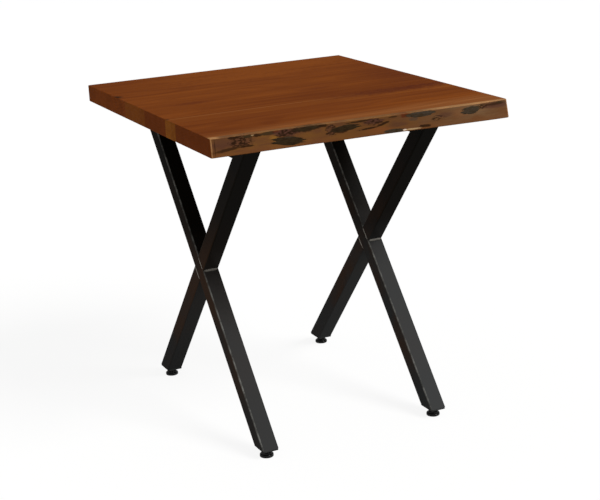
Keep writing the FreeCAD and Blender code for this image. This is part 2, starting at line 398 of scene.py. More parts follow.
TOP_MARKS = tuple(
    SurfaceMark((x, y, TOP_Z), (*half, TOP_DEPTH), *facts)
    for x, y, half, *facts in (
        (110, 285, (190, 60), Tone.TOP_LIGHT, 0.5, 0.9, 0.9),
        (0, 195, (120, 30), Tone.TOP_LIGHT, 0.5, 0.9, 0.9),
        (-265, 275, (60, 70), Tone.TOP_DARK, 0.5, 0.9, 0.9),
        (-225, 5, (110, 80), Tone.TOP_DARK, 0.35, 0.9, 0.9),
        (265, 40, (62, 110), Tone.TOP_RED, 0.42, 0.9, 0.9),
        (120, -70, (150, 26), Tone.TOP_DARK, 0.4, 0.9, 0.9),
        (172, -109, (118, 20), Tone.TOP_RED, 0.85, 0.9, 0.8),
        (218, -100, (50, 9), Tone.TOP_RED, 0.6, 0.9, 0.7),
        (64, -5, (40, 8), Tone.TOP_RED, 0.45, 0.9, 0.8),
        (-185, 8, (34, 10), Tone.TOP_RED, 0.5, 0.9, 0.8),
        (-150, -101, (150, 2.4), Tone.TOP_DARK, 0.85, 0.7, 0.5),
        (-150, -108, (180, 3.4), Tone.SAPWOOD, 0.4, 0.7, 0.5),
    )
) + (
    SurfaceMark((-277, 153, 608), (10, 13, 3.0), Tone.STREAK, 0.85, ragged=0.6, soft=0.4),
    SurfaceMark((-278, -104, 607), (7, 8, 3.0), Tone.STREAK, 0.8, ragged=0.6, soft=0.4),
)


@dataclass(frozen=True)
class Finish(ABC):
    """What a piece is made of or coated with."""

    name: str

    @abstractmethod
    def material(self) -> Material:
        """Build the material of this name."""


@dataclass(frozen=True)
class NaturalFace:
    """The wood of the natural edge, laid over the sawn wood where its board looks forward."""

    marks: tuple[SurfaceMark, ...] = FACE_MARKS  # the later ones lie over the earlier
    # where its colour starts and where it is full behind the upper rim, along Y
    rim_line: tuple[float, float] = (-0.2912, -0.2928)
    rim_slant: float = 0.038  # how far that line runs forward for each metre along X
    # the heights between which the rolled rim starts
    rim_level: tuple[float, float] = (0.603, 0.607)

    def wood(self, graph: ShaderGraph, cloud: Feed, lines: Feed, fine: Feed) -> Feed:
        """Colour the natural wood with its clouds, bands and marks.

        Args:
            graph: The board's node tree.
            cloud: Broad noise.
            lines: Noise drawn out along the grain.
            fine: Noise for the speckles.

        Returns:
            The colour.
        """
        along = graph.at("X")
        ragged = graph.noise((130, 20, 330), 5, 0.7, 2)
        wood = graph.mix(graph.span(cloud, 0.3, 0.7), Tone.FACE_BROWN, Tone.FACE_GOLD)
        grey = graph.mix(graph.span(cloud, 0.25, 0.8), Tone.FACE_GREY, Tone.FACE_BROWN)
        wood = graph.mix(graph.span(along, 0.02, 0.2, 0, 0.85), wood, grey)
        wood = graph.mix(graph.span(graph.at("Z"), 0.592, 0.58, 0, 0.3), wood, Tone.FACE_ORANGE)
        wood = graph.mix(graph.span(lines, 0.45, 0.75, 0, 0.4), wood, Tone.PLUM)
        for mark in self.marks:
            wood = graph.mix(mark.mask(graph, ragged, fine), wood, mark.tone)
        return wood

    def lay(self, graph: ShaderGraph, colour: Feed, height: Feed) -> tuple[Feed, Feed]:
        """Lay the natural face, its rolled upper rim and the painted highlights on its arrises,
        with a little rub wear, over the board.

        Args:
            graph: The board's node tree.
            colour: The sawn wood's colour.
            height: The sawn wood's height.

        Returns:
            The colour and the height with the natural face.
        """
        forward = graph.times(graph.faces("Y"), -1)
        along = graph.at("X")
        fine = graph.noise((170, 40, 480), 3, 0.6, 11)
        cloud = graph.noise((26, 10, 80), 4, 0.65, 7)
        lines = graph.noise((20, 60, 420), 3, 0.6, 4)
        wood = self.wood(graph, cloud, lines, fine)
        relief = graph.plus(graph.times(lines, 0.8), fine)
        behind = graph.plus(graph.at("Y"), graph.times(along, self.rim_slant))
        behind = graph.plus(behind, graph.times(cloud, 0.004))
        level = graph.span(graph.at("Z"), *self.rim_level)
        rolled = graph.times(graph.span(behind, *self.rim_line), level)
        face = graph.most(graph.span(forward, 0.45, 0.8), rolled)
        # painted highlight along the upper arris, with a little rub wear: strong at the right,
        # some at the left end, faint between, broken by cloud
        right = graph.span(along, 0.08, 0.17, 0.2, 0.9)
        left = graph.span(along, -0.255, -0.27, 0, 0.8)
        rub_and_highlight = graph.times(graph.most(right, left), graph.span(cloud, 0.35, 0.65, 0.6, 1))
        # the painted highlight on the rolled upper arris
        rim = graph.times(rolled, graph.span(forward, 0.97, 0.8), rub_and_highlight)
        sideways = graph.sideways()
        # the painted highlight on the rounded front corners
        corner = graph.times(graph.span(sideways, 0.12, 0.4), graph.span(sideways, 0.95, 0.75))
        corner = graph.times(corner, graph.span(forward, 0.2, 0.4, 0, 0.7))
        colour = graph.mix(face, colour, wood)
        colour = graph.mix(graph.most(rim, corner), colour, Tone.ARRIS_HIGHLIGHT)
        feeds = {0: face, 2: height, 3: relief}
        return colour, graph.node("ShaderNodeMix", feeds, data_type="FLOAT").outputs[0]


@dataclass(frozen=True)
class BoardFinish(Finish):
    """Stained and lacquered solid wood, its rings running on from the top over the ends."""

    node: str  # the board's node
    pith: tuple[float, float]  # the tree's middle as y and z; y is the board's own middle too
    ring_width: float
    shift: float  # a step in the noise that tells one board from the next
    light: Tone = Tone.TOP_LIGHT
    dark: Tone = Tone.TOP_DARK
    end: Tone = Tone.END_GRAIN
    sapwood: float = 0.0  # how much the wood pales towards the live edge
    face: Optional[NaturalFace] = None
    half_width: float = 0.07

    def figure(self, graph: ShaderGraph) -> Feed:
        """Draw the rings and streaks of the board.

        Args:
            graph: The board's node tree.

        Returns:
            A value from 0 in light wood to 1 in dark.
        """
        from_pith = graph.vector("SUBTRACT", graph.place, (0, self.pith[0], self.pith[1]))
        across = graph.vector("MULTIPLY", from_pith, (0.02, 1, 1))
        wander = graph.noise((2.4, 9, 9), 2, 0.5, self.shift)
        radius = graph.plus(graph.vector("LENGTH", across), graph.times(wander, 0.035))
        rings = graph.math("SINE", graph.times(radius, 2 * math.pi / self.ring_width))
        streaks = graph.noise((2.6, 60, 60), 4, 0.6, self.shift)
        broad = graph.noise((1.6, 10, 10), 2, 0.5, self.shift + 3)
        return graph.plus(
            graph.times(graph.span(rings, -0.6, 1), 0.20),
            graph.times(graph.span(streaks, 0.25, 0.75), 0.42),
            graph.times(graph.span(broad, 0.3, 0.7), 0.38),
        )

    def material(self) -> Material:
        """Build the board's material.

        Returns:
            The material.
        """
        graph = ShaderGraph(self.name)
        figure = self.figure(graph)
        fibre = graph.noise((22, 700, 700), 3, 0.6, self.shift)
        stain = graph.noise((3, 5, 5), 2, 0.5, self.shift + 9)
        colour = graph.mix(figure, self.light, self.dark)
        colour = graph.mix(graph.span(stain, 0.35, 0.75, 0, 0.30), colour, Tone.TOP_RED)
        colour = graph.mix(graph.span(fibre, 0.3, 0.8, 0, 0.28), colour, Tone.TOP_DARK)
        if self.sapwood:
            pale = graph.plus(graph.at("Y"), graph.times(stain, 0.05))
            pale = graph.span(pale, -0.214, -0.262, 0, self.sapwood)
            pale = graph.times(pale, graph.span(figure, 0.75, 0.25, 0.55, 1))
            colour = graph.mix(pale, colour, Tone.SAPWOOD)
        rough = graph.noise((110, 110, 210), 3, 0.6, self.shift)
        for mark in TOP_MARKS:
            away = abs(mark.centre[1] / PER_METRE - self.pith[0])
            if away < self.half_width + mark.reach[1] / PER_METRE:
                colour = graph.mix(mark.mask(graph, rough, fibre), colour, mark.tone)
        height = graph.times(fibre, 0.5)
        if self.face:
            colour, height = self.face.lay(graph, colour, height)
        # painted light in the end tones: the ends are as light as the top, for the light on them
        ends = graph.span(graph.sideways(), 0.45, 0.85)
        pores = graph.noise((40, 1100, 1100), 2, 0.5, self.shift)
        end = graph.mix(graph.span(figure, 0.2, 0.9, 0, 0.55), self.end, Tone.TOP_DARK)
        end = graph.mix(graph.span(pores, 0.45, 0.75, 0, 0.45), end, Tone.STREAK)
        patchy = graph.noise((14, 30, 30), 3, 0.5, self.shift + 5)
        return graph.finish({
            "Base Color": graph.mix(ends, colour, end),
            "Roughness": graph.span(patchy, 0.2, 0.8, 0.44, 0.6),
            "Coat Weight": 0.02,
            "Coat Roughness": 0.3,
            "Normal": graph.bump(height, 0.0004, 0.5),
        })


@dataclass(frozen=True)
class BarkFinish(Finish):
    """Dark remains of bark and bast, lacquered over."""

    dark: Tone
    light: Tone

    def material(self) -> Material:
        """Build the bark's material.

        Returns:
            The material.
        """
        graph = ShaderGraph(self.name)
        flakes = graph.noise((130, 130, 380), 5, 0.7)
        hairs = graph.noise((60, 200, 900), 3, 0.6, 4)
        colour = graph.mix(graph.span(flakes, 0.3, 0.7), self.dark, self.light)
        height = graph.plus(flakes, graph.times(hairs, 0.5))
        return graph.finish({
            "Base Color": graph.mix(graph.span(hairs, 0.5, 0.8, 0, 0.5), colour, Tone.STREAK),
            "Roughness": graph.span(flakes, 0.2, 0.8, 0.5, 0.8),
            "Coat Weight": 0.03,
            "Coat Roughness": 0.4,
            "Normal": graph.bump(height, 0.0008, 0.7),
        })


@dataclass(frozen=True)
class SteelFinish(Finish):
    """Black steel with a fine skin, with painted highlights and a little scuff wear along its
    rounded arrises, painted shade high up and painted light lower down.
    """

    base: Tone = Tone.COAT  # its colour high up, darker: painted shade under the top
    lower_lit: Tone = Tone.COAT_LOWER_LIT  # its colour lower down, paler: painted light below the top's shadow
    # its pale tone: painted highlight on the arrises and flanks, with a little scuff wear
    highlight_and_wear: Tone = Tone.COAT_HIGHLIGHT_WEAR
    roughness: float = 0.42
    grain: float = 900.0  # cells per metre of its fine skin
    coat: float = 0.04
    metallic: float = 0.0
    flank_highlight: float = 0.0  # how much painted highlight its sides take

    def material(self) -> Material:
        """Build the steel's material.

        Returns:
            The material.
        """
        graph = ShaderGraph(self.name)
        skin = graph.noise((self.grain, self.grain, self.grain), 2, 0.5)
        cloud = graph.noise((18, 18, 18), 3, 0.6)
        turned = graph.sideways()
        scuffs = graph.noise((45, 45, 45), 5, 0.75, 5)
        # painted highlight along the rounded arrises that face up and to the left, broken by scuff
        # noise
        arris_highlight = graph.times(
            graph.span(graph.times(graph.faces("X"), -1), 0.08, 0.3),
            graph.span(turned, 0.995, 0.93),
            graph.span(graph.faces("Z"), 0, 0.35),
            graph.span(scuffs, 0.35, 0.75, 0.1, 0.8),
        )
        # the painted highlight on the sides, by the flank share, and a little real scuff wear
        highlight_and_wear = graph.plus(arris_highlight, graph.span(turned, 0.6, 0.9, 0, self.flank_highlight))
        highlight_and_wear = graph.math("ADD", highlight_and_wear, graph.span(scuffs, 0.62, 0.85, 0, 0.06), clamp=True)
        # painted shade and light: the coat is dark from about 0.40 m up, under the top, and paler
        # below 0.27 m; the right frame takes more of the paler tone than the left
        height = graph.plus(graph.at("Z"), graph.times(cloud, 0.06))
        along = graph.span(graph.at("X"), -0.2, 0.2, 0.68, 1)
        low = graph.times(graph.span(height, 0.40, 0.27), along)
        colour = graph.mix(low, self.base, self.lower_lit)
        patch = graph.noise((9, 9, 9), 2, 0.5, 3)
        brown = graph.times(
            graph.span(patch, 0.35, 0.65),
            graph.span(turned, 0.5, 0.9, 0.08, 0.7),
            graph.span(height, 0.47, 0.30, 0.15, 1),
            graph.span(height, 0.08, 0.18, 0.2, 1),
        )
        colour = graph.mix(brown, colour, Tone.COAT_BROWN)
        return graph.finish({
            "Base Color": graph.mix(highlight_and_wear, colour, self.highlight_and_wear),
            "Roughness": graph.span(cloud, 0.2, 0.8, self.roughness - 0.06, self.roughness + 0.08),
            "Metallic": self.metallic,
            "Coat Weight": self.coat,
            "Coat Roughness": 0.32,
            "Normal": graph.bump(skin, 0.00005, 0.5),
        })


@dataclass(frozen=True)
class PlasticFinish(Finish):
    """Moulded black plastic with a fine matt grain and scuffed edges."""

    base: Tone = Tone.PLASTIC
    scuff: Tone = Tone.PLASTIC_SCUFF
    coat: float = 0.25  # how glossy its skin is
    skin: float = 0.12

    def material(self) -> Material:
        """Build the plastic's material.

        Returns:
            The material.
        """
        graph = ShaderGraph(self.name)
        grain = graph.noise((1500, 1500, 1500), 2, 0.5)
        scuffs = graph.noise((90, 90, 400), 4, 0.7)
        low = graph.span(graph.at("Z"), 0.006, 0, 0.1, 0.45)
        dust = graph.times(low, graph.span(scuffs, 0.4, 0.7))
        return graph.finish({
            "Base Color": graph.mix(dust, self.base, self.scuff),
            "Roughness": graph.span(scuffs, 0.2, 0.8, 0.32, 0.5),
            "Coat Weight": self.coat,
            "Coat Roughness": self.skin,
            "Normal": graph.bump(grain, 0.00004, 0.5),
        })


@dataclass(frozen=True)
class FloorFinish(Finish):
    """A plain pale studio floor that the camera sees white, with the table's soft shadow."""

    whiteness: float = 0.8  # the share of plain white in what is seen of it
    level: float = 1.11

    def material(self) -> Material:
        """Build the floor's material.

        Returns:
            The material.
        """
        graph = ShaderGraph(self.name)
        plain = graph.node("ShaderNodeBsdfDiffuse", {"Color": Tone.FLOOR}).outputs[0]
        feeds = {"Color": WHITE, "Strength": self.level}
        white = graph.node("ShaderNodeEmission", feeds).outputs[0]
        share = graph.times(graph.seen(), self.whiteness)
        both = graph.node("ShaderNodeMixShader", {0: share, 1: plain, 2: white}).outputs[0]
        graph.node("ShaderNodeOutputMaterial", {"Surface": both})
        return graph.material


POWDER_COAT = SteelFinish("Black powder coat")
# weld beads painted paler than the coat, partly for the highlights they catch; their flanks and
# upper arrises take a brighter painted highlight
COATED_WELD = SteelFinish(
    "Coated weld", Tone.SEAM, Tone.SEAM, Tone.SEAM_HIGHLIGHT, 0.34, coat=0.2, flank_highlight=0.9
)
BLACK_OXIDE = SteelFinish(
    "Black oxide", Tone.OXIDE, Tone.OXIDE, roughness=0.38, grain=1600.0, coat=0.3
)
ZINC_PLATE = SteelFinish(
    "Zinc plate", Tone.ZINC, Tone.ZINC, Tone.ZINC, roughness=0.35, metallic=1.0
)
PAD_PLASTIC = PlasticFinish("Moulded black plastic")
# the caps take the coat's paler lower tone, painted light as on the legs' lower parts
CAP_PLASTIC = PlasticFinish("Satin cap plastic", Tone.COAT_LOWER_LIT, Tone.SEAM, 0.05, 0.32)
BROWN_BARK = BarkFinish("Brown bark", Tone.BARK, Tone.BARK_OLIVE)
GREY_BARK = BarkFinish("Grey bark", Tone.BARK_OLIVE, Tone.BARK_GREY)


def clothe(piece: bpy.types.Object, finish: Finish) -> None:
    """Give a piece one finish in place of any it has.

    Args:
        piece: The piece.
        finish: Its finish, whose material is built when it is first used.
    """
    material = bpy.data.materials.get(finish.name) or finish.material()
    if not piece.material_slots:
        piece.data.materials.append(material)
    for each in piece.material_slots:
        each.material = material


def soften(work: BMesh) -> None:
    """Shade faces smooth and keep sharp edges crisp.

    Args:
        work: The mesh.
    """
    for face in work.faces:
        face.smooth = True
    for edge in work.edges:
        edge.smooth = len(edge.link_faces) == 2 and edge.calc_face_angle(0.0) < CRISP_ANGLE


def add_piece(
    work: BMesh, name: str, finish: Finish, body: str, node: str = ""
) -> None:
    """Turn a finished bmesh into a piece of the table that rides on a body.

    Args:
        work: The mesh, in its place; it is freed.
        name: The piece's name.
        finish: The piece's finish.
        body: The body that it moves with.
        node: The CAD node that it stands for, if any.
    """
    bmesh.ops.remove_doubles(work, verts=work.verts, dist=MERGE_DISTANCE)
    bmesh.ops.recalc_face_normals(work, faces=work.faces)
    open_edges = sum(1 for edge in work.edges if not edge.is_manifold)
    soften(work)
    mesh = bpy.data.meshes.new(name)
    work.to_mesh(mesh)
    work.free()
    piece = bpy.data.objects.new(name, mesh)
    bpy.context.scene.collection.objects.link(piece)
    clothe(piece, finish)
    if node:
        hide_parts(node)
    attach(piece, body)
    LOG.info("%s: %d faces, %d open edges", name, len(mesh.polygons), open_edges)


def turned_solid(
    work: BMesh, stations: Sequence[Station], matrix: Matrix, segments: int, hexagons: int = 0
) -> None:
    """Add a round solid by carrying a ring of edges from station to station.

    Args:
        work: The mesh to add to.
        stations: Radius and level of each ring, in metres; both ends are closed.
        matrix: Where the solid goes, from its own axis Z.
        segments: Sides of the ring.
        hexagons: How many of the last rings are drawn out to a hexagon's outline.
    """
    radius, level = stations[0]
    lift = Matrix.Translation((0.0, 0.0, level))
    made = bmesh.ops.create_circle(
        work, cap_ends=True, segments=segments, radius=radius, matrix=lift
    )
    every = list(made["verts"])
    ring = list({edge for vert in every for edge in vert.link_edges})
    for place, (next_radius, next_level) in enumerate(stations[1:], start=1):
        grown = bmesh.ops.extrude_edge_only(work, edges=ring)["geom"]
        verts = [item for item in grown if isinstance(item, BMVert)]
        ring = [item for item in grown if isinstance(item, BMEdge)]
        bmesh.ops.scale(work, vec=(next_radius / radius, next_radius / radius, 1.0), verts=verts)
        bmesh.ops.translate(work, vec=(0.0, 0.0, next_level - level), verts=verts)
        if hexagons and place == len(stations) - hexagons:
            for vert in verts:
                turn = math.atan2(vert.co.y, vert.co.x) % (math.pi / 3) - math.pi / 6
                stretch = math.cos(math.pi / 6) / math.cos(turn)
                vert.co.x, vert.co.y = vert.co.x * stretch, vert.co.y * stretch
        every += verts
        radius, level = next_radius, next_level
    bmesh.ops.contextual_create(work, geom=ring)
    bmesh.ops.transform(work, matrix=matrix, verts=every)


def hexagon_bar(
    work: BMesh, width: float, low: float, high: float, edge: float, matrix: Matrix
) -> None:
    """Add a hexagonal bar with eased edges and flats that face along Y.

    Args:
        work: The mesh to add to.
        width: The width across flats.
        low: Its lower level.
        high: Its upper level.
        edge: How wide its level edges are eased.
        matrix: Where the bar goes, from its own axis Z.
    """
    radius = width / 2 / math.cos(math.pi / 6)
    turn = Matrix.Translation((0.0, 0.0, low)) @ Matrix.Rotation(math.pi / 2, 4, "Z")
    made = bmesh.ops.create_circle(work, cap_ends=True, segments=6, radius=radius, matrix=turn)
    base = made["verts"][0].link_faces[0]
    grown = bmesh.ops.extrude_face_region(work, geom=[base])["geom"]
    top = [item for item in grown if isinstance(item, BMVert)]
    bmesh.ops.translate(work, vec=(0.0, 0.0, high - low), verts=top)
    every = list(set(made["verts"]) | set(top))
    rims = {line for vert in every for line in vert.link_edges}
    level = [line for line in rims if abs(line.verts[0].co.z - line.verts[1].co.z) < edge / 10]
    bmesh.ops.transform(work, matrix=matrix, verts=every)
    bmesh.ops.bevel(
        work, geom=level, offset=edge, offset_type="OFFSET", segments=2, profile=0.5,
        affect="EDGES", material=-1,
    )


def thread_ridge(
    work: BMesh, root: float, crest: float, pitch: float, low: float, turns: int,
    matrix: Matrix,
) -> None:
    """Add a screw thread's ridge, nine tenths of its pitch wide, by spinning a small triangle.

    Args:
        work: The mesh to add to.
        root: The radius where the ridge starts.
        crest: The radius of its tip.
        pitch: The rise of one turn.
        low: The level where it starts.
        turns: How many turns it has.
        matrix: Where the thread goes, from its own axis Z.
    """
    outline = ((root, low), (crest, low + pitch * 0.45), (root, low + pitch * 0.9))
    verts = [work.verts.new((radius, 0.0, level)) for radius, level in outline]
    start = work.faces.new(verts)
    before = set(work.verts)
    bmesh.ops.spin(
        work,
        geom=[start, *start.edges, *verts],
        cent=(0.0, 0.0, 0.0),
        axis=(0.0, 0.0, 1.0),
        dvec=(0.0, 0.0, pitch / THREAD_STEPS),
        angle=2 * math.pi * turns,
        steps=THREAD_STEPS * turns,
        use_merge=False,
    )
    every = verts + [vert for vert in work.verts if vert not in before]
    bmesh.ops.transform(work, matrix=matrix, verts=every)


@dataclass(frozen=True)
class BarkFlake:
    """A thin flake of bark left on the natural face."""

    name: str
    centre: tuple[float, float]  # its middle as x and z, in millimetres
    half: tuple[float, float]  # its half length and half height, in millimetres
    tilt: float  # its turn in the face, in degrees
    ragged: float  # how uneven its outline is
    lift: float  # how far its middle stands proud, in millimetres
    finish: BarkFinish = BROWN_BARK


@dataclass
class TableTop:
    """The glued boards with their natural front edge."""

    nodes: Nodes
    # from the back to the front
    boards: tuple[BoardFinish, ...] = (
        BoardFinish("Stained board one", "top_board_1", (0.265, 0.43), 0.0043, 1.0),
        BoardFinish("Stained board two", "top_board_2", (0.155, 0.70), 0.0050, 12.0),
        BoardFinish(
            "Stained board three", "top_board_3", (0.052, 0.45), 0.0040, 23.0, end=Tone.END_YELLOW
        ),
        BoardFinish(
            "Stained board four", "top_board_4", (-0.060, 0.74), 0.0046, 34.0, end=Tone.END_DARK
        ),
        BoardFinish(
            "Stained pale board", "top_board_5", (-0.122, 0.50), 0.0038, 45.0,
            Tone.PALE_BOARD, Tone.TOP_MID, Tone.END_GOLD,
        ),
        BoardFinish(
            "Stained live-edge board", "live_edge_board", (-0.215, 0.46), 0.0042, 56.0,
            end=Tone.END_DARK, sapwood=0.95, face=NaturalFace(),
        ),
    )
    flakes: tuple[BarkFlake, ...] = (
        BarkFlake("bark_flake_1", (-143, 589.8), (27, 6.8), 6, 0.60, 0.9),
        BarkFlake("bark_flake_2", (-108, 605.8), (25, 3.2), -3, 0.40, 0.4),
        BarkFlake("bark_flake_3", (-39, 598.8), (23, 5.0), -4, 0.45, 0.8),
        BarkFlake("bark_flake_4", (52, 582.6), (18, 2.8), 1, 0.40, 0.6, GREY_BARK),
        BarkFlake("bark_flake_5", (104, 605.4), (28, 4.8), 0, 0.40, 0.5, GREY_BARK),
        BarkFlake("bark_flake_6", (203, 600.2), (18, 6.4), -2, 0.45, 0.8, GREY_BARK),
    )
    face_low: float = 0.5795  # the lowest level that a flake reaches
    face_high: float = 0.6088
    sides: int = 72  # the points round a flake's outline
    rings: int = 5  # how many rings lie inside it
    ring_width: float = 0.17  # how wide each ring is, on a flake of radius 1
    thickness: float = 0.0012  # how thick a flake is, most of it in the wood
    sunk: float = 0.15  # how deep a flake's outline lies in the wood, in millimetres

    def dress(self) -> None:
        """Finish the boards and add the bark."""
        for finish in self.boards:
            clothe(self.nodes[finish.node], finish)
            LOG.info("%s: %s", finish.node, finish.name)
        mesh = self.nodes["live_edge_board"].data
        corners = [vert.co.copy() for vert in mesh.vertices]
        tree = BVHTree.FromPolygons(corners, [tuple(face.vertices) for face in mesh.polygons])
        for place, flake in enumerate(self.flakes):
            self.lay_flake(flake, place, tree)

    def lay_flake(self, flake: BarkFlake, seed: int, tree: BVHTree) -> None:
        """Lay one flake on the natural face.

        Args:
            flake: What it is like.
            seed: Its place in the row, which sets its outline.
            tree: The board's surface.
        """
        work = bmesh.new()
        made = bmesh.ops.create_circle(work, cap_ends=True, segments=self.sides, radius=1.0)
        sheet = made["verts"][0].link_faces[0]
        for _ in range(self.rings):
            bmesh.ops.inset_region(
                work, faces=[sheet], thickness=self.ring_width, use_boundary=True,
                use_even_offset=True,
            )
        turn = math.radians(flake.tilt)
        for vert in work.verts:
            across, up = vert.co.x, vert.co.y
            ring = min(math.hypot(across, up), 1.0)
            wave = noise.fractal(Vector((across * 0.8, up * 5.5, seed * 7.3)), 0.9, 2.2, 5)
            push = 1 + flake.ragged * ring * (wave * 1.6)  # in and out, most at the outline
            x = across * push * flake.half[0]
            z = math.copysign(abs(up) ** 0.8, up) * (0.8 + 0.2 * push) * flake.half[1]
            x, z = x * math.cos(turn) + z * math.sin(turn), z * math.cos(turn) - x * math.sin(turn)
            x, z = (x + flake.centre[0]) / PER_METRE, (z + flake.centre[1]) / PER_METRE
            z = min(max(z, self.face_low), self.face_high)
            hit = tree.ray_cast(Vector((x, RAY_START, z)), Vector((0.0, 1.0, 0.0)))[0]
            rough = noise.fractal(Vector((x * 260, z * 520, seed)), 1.0, 2.0, 4) * 0.25
            proud = flake.lift * (1 - ring ** 4) * (0.8 + rough) - self.sunk * ring
            vert.co = Vector((x, hit.y - proud / PER_METRE, z))
        bmesh.ops.solidify(work, geom=work.faces[:], thickness=self.thickness)
        add_piece(work, flake.name, flake.finish, "table")


def tapered(share: float, slope: float, least: float) -> float:
    """Tell how full a bead is at a share of its length, with both ends drawn in."""
    return min(1.0, slope * share + least, slope * (1 - share) + least)


FRAME_X = {Side.LEFT: -0.176, Side.RIGHT: 0.176}
FOOT_Y = {End.FRONT: -0.2205716, End.BACK: 0.2459716}


@dataclass
class XFrame:
    """One welded X-frame of square tube, with its plate and screws."""

    side: Side
    x: float
    y: float = 0.0127
    crossing: float = 0.2968375
    lean: float = 0.6984236  # the legs' lean from upright, in radians
    tube: float = 0.03175
    corner: float = 0.003  # the radius of the tube's arrises
    top: float = 0.574675  # the height of the arms' upper ends
    screw_x: float = 0.0254  # how far the screws stand from the middle along X
    screw_y: float = 0.180  # how far they stand from it along Y
    # radius and level of each ring of a screw, from its tip to its socket
    screw: tuple[Station, ...] = (
        (0.0002, 0.0218), (0.0012, 0.0190), (0.0027, 0.0170), (0.00275, 0.0), (0.0066, 0.0),
        (0.0066, -0.0009), (0.0064, -0.0016), (0.0058, -0.0024), (0.0047, -0.0030),
        (0.0036, -0.0033), (0.0023, -0.0033), (0.0022, -0.0014),
    )
    bead: float = 0.0029  # the greatest radius of a fillet bead
    bead_out: float = 0.0007  # how far its axis lies outside the corner
    ripples: int = 9
    seam: float = 0.0020  # the greatest radius of a flat seam on the frame's sides
    seam_in: float = 0.0017  # how deep a seam's axis lies in the tube
    seam_short: float = 0.004  # how much shorter a seam is than its joint
    seam_shift: tuple[float, float] = (0.0007, 0.0006)  # how far it lies inward along Y and Z

    @property
    def slopes(self) -> tuple[float, float]:
        """Half the height and half the width of the crossing's diamond."""
        return self.tube / 2 / math.sin(self.lean), self.tube / 2 / math.cos(self.lean)

    def bead_corners(self) -> dict[str, list[tuple[float, float, float, float]]]:
        """Find where the beads lie.

        Returns:
            For each weld node, the y and z of each bead's corner and the y and z of the
            direction that it bulges in.
        """
        rise, run = self.slopes
        rail = self.top - self.tube
        offset = (rail - self.crossing) * math.tan(self.lean) - run
        sine, cosine = math.sin(self.lean), math.cos(self.lean)
        return {
            "crossing_welds": [
                (self.y + run * across, self.crossing + rise * up, across, up)
                for across, up in ((0, 1), (-1, 0), (0, -1), (1, 0))
            ],
            "rail_welds": [
                (self.y + way * offset, rail, -way * (1 + sine) / 2, -cosine / 2)
                for way in (1, -1)
            ],
        }

    def side_seams(self, work: BMesh) -> None:
        """Lay the smooth seams that close the joints on the frame's two sides.

        Args:
            work: The mesh to add to.
        """
        rise, run = self.slopes
        length = math.hypot(rise, run) - self.seam_short
        lie = Matrix.Rotation(-self.lean, 4, "X")
        for joint, out in product((1, -1), repeat=2):
            middle = Vector((
                self.x + out * (self.tube / 2 - self.seam_in),
                self.y - joint * (run / 2 - self.seam_shift[0]),
                self.crossing + joint * (rise / 2 - self.seam_shift[1]),
            ))
            stations = []
            for share in (step / SEAM_STEPS for step in range(SEAM_STEPS + 1)):
                spot = Vector((share * 4, joint * 2.3, out * 1.7 + self.x * 10))
                radius = self.seam * tapered(share, 5, 0.4) * (0.94 + noise.noise(spot) * 0.15)
                stations.append((radius, (share - 0.5) * length))
            turned_solid(work, stations, Matrix.Translation(middle) @ lie, segments=12)

    def screws(self) -> None:
        """Build the plate's wood screws with rounded heads and hexagon sockets."""
        work = bmesh.new()
        for way_x, way_y in product((-1, 1), repeat=2):
            place = (self.x + way_x * self.screw_x, self.y + way_y * self.screw_y, self.top)
            turned_solid(work, self.screw, Matrix.Translation(place), segments=24, hexagons=2)
        name, node = f"{self.side.value}_socket_screws", f"{self.side.value}_plate_screws"
        add_piece(work, name, BLACK_OXIDE, "table", node)

    def weld(self, node: str) -> None:
        """Build the rippled beads that stand for one weld node.

        Args:
            node: The node's name without its side.
        """
        work = bmesh.new()
        length = self.tube - 2 * self.corner
        steps = self.ripples * RIPPLE_STEPS
        lie = Matrix.Rotation(math.pi / 2, 4, "Y")
        for count, (y, z, out_y, out_z) in enumerate(self.bead_corners()[node]):
            stations = []
            for share in (step / steps for step in range(steps + 1)):
                scallop = abs(math.sin(math.pi * (share * self.ripples)))
                wobble = noise.noise(Vector((share * 5, count * 3.1, self.x * 10))) * 0.12
                radius = self.bead * tapered(share, 6, 0.45) * (0.84 + 0.16 * scallop + wobble)
                stations.append((radius, share * length))
            start = (self.x - length / 2, y + out_y * self.bead_out, z + out_z * self.bead_out)
            turned_solid(work, stations, Matrix.Translation(start) @ lie, segments=16)
        if node == "crossing_welds":
            self.side_seams(work)
        node = f"{self.side.value}_{node}"
        add_piece(work, f"{node}_beads", COATED_WELD, "table", node)

    def dress(self, nodes: Nodes) -> None:
        """Finish the frame's nodes and lay its beads.

        Args:
            nodes: The CAD nodes by name.
        """
        for name in ("long_leg", "upper_arm", "lower_leg", "top_rail", "top_plate"):
            clothe(nodes[f"{self.side.value}_{name}"], POWDER_COAT)
        self.screws()
        for name in ("crossing_welds", "rail_welds"):
            self.weld(name)
        LOG.info("%s frame dressed", self.side.value)


